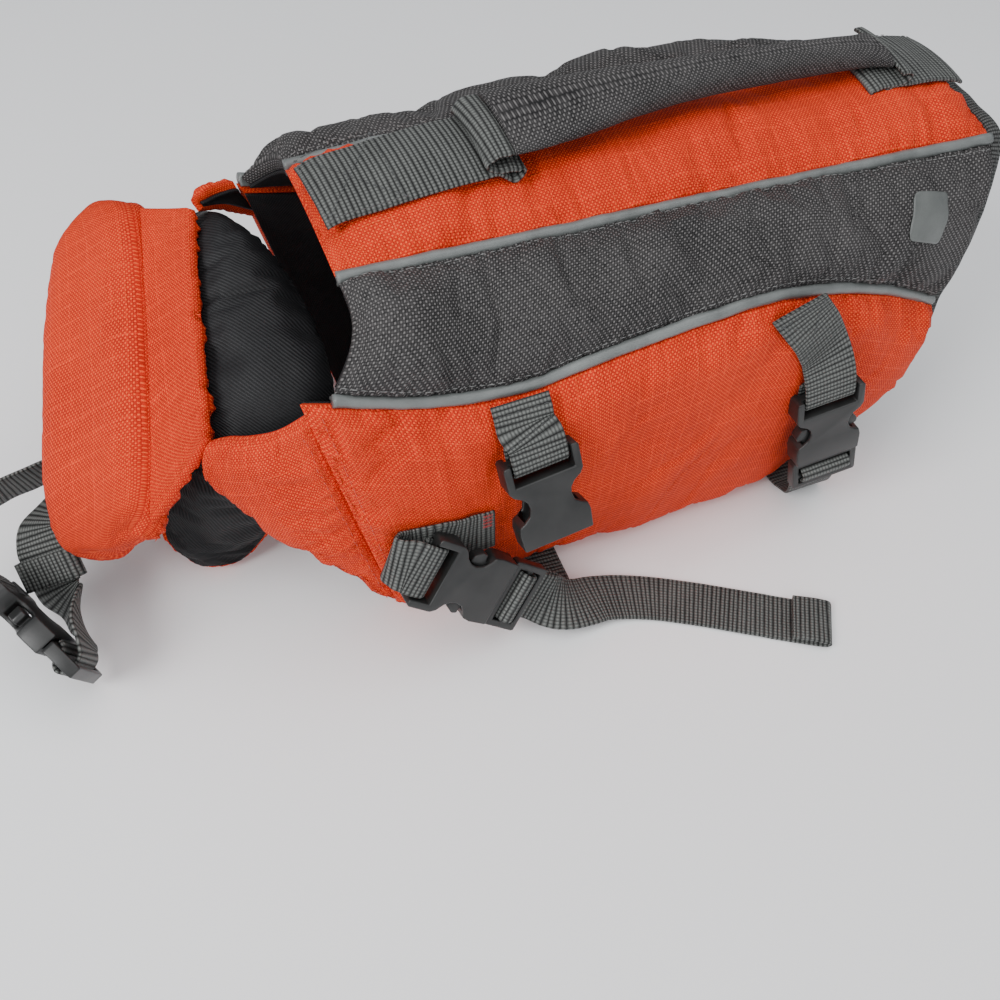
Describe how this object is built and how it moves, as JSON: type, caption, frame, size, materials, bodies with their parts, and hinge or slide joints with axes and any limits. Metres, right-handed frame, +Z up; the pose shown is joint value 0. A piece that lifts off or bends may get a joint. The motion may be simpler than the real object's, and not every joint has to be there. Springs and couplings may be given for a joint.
{
  "type": "dog life jacket",
  "caption": "Padded dog life jacket with a chin float, a lifting handle on the back, webbing straps and side-release buckles, worn open at the legs and neck.",
  "frame": {"origin": "middle of the whole footprint, on the table that the jacket stands on", "axes": "+X from the neck to the tail, +Y to the side away from the open buckle, +Z up"},
  "size_m": [0.3974, 0.2666, 0.1613],
  "materials": {
    "orange_ripstop": "woven ripstop polyester, matt",
    "charcoal_600d": "coarse 600-denier plain weave, matt",
    "black_twill": "smooth twill, slight sheen",
    "grey_webbing": "ribbed woven webbing, matt",
    "reflective_piping": "retroreflective tape over cord, satin",
    "reflective_patch": "retroreflective film, satin",
    "buckle_plastic": "moulded acetal, satin"
  },
  "bodies": {
    "root": {"back_panel": "orange_ripstop", "back_panel_lining": "black_twill", "belly_strap": "grey_webbing", "chest_female": "buckle_plastic", "chest_male": "buckle_plastic", "chest_panel": "orange_ripstop", "chest_panel_lining": "black_twill", "chest_strap": "grey_webbing", "chest_tab": "grey_webbing", "chin_float": "orange_ripstop", "float_hinge_border": "orange_ripstop", "front_arm_far": "orange_ripstop", "front_arm_far_lining": "black_twill", "front_wing_near": "orange_ripstop", "front_wing_near_lining": "black_twill", "handle_grip": "charcoal_600d", "handle_webbing_front": "grey_webbing", "handle_webbing_rear": "grey_webbing", "lower_panel_far": "orange_ripstop", "lower_panel_far_lining": "black_twill", "lower_panel_near": "orange_ripstop", "lower_panel_near_lining": "black_twill", "mid_female": "buckle_plastic", "mid_male": "buckle_plastic", "mid_strap": "grey_webbing", "mid_tab": "grey_webbing", "neck_female": "buckle_plastic", "neck_keeper": "grey_webbing", "neck_male": "buckle_plastic", "neck_strap_far": "grey_webbing", "neck_strap_near": "grey_webbing", "piping_lower_far": "reflective_piping", "piping_lower_near": "reflective_piping", "piping_upper_far": "reflective_piping", "piping_upper_near": "reflective_piping", "rear_binding": "grey_webbing", "rear_female": "buckle_plastic", "rear_male": "buckle_plastic", "rear_tab": "grey_webbing", "reflective_patch_far": "reflective_patch", "reflective_patch_near": "reflective_patch", "side_panel_far": "charcoal_600d", "side_panel_far_lining": "black_twill", "side_panel_near": "charcoal_600d", "side_panel_near_lining": "black_twill"}
  },
  "joints": []
}
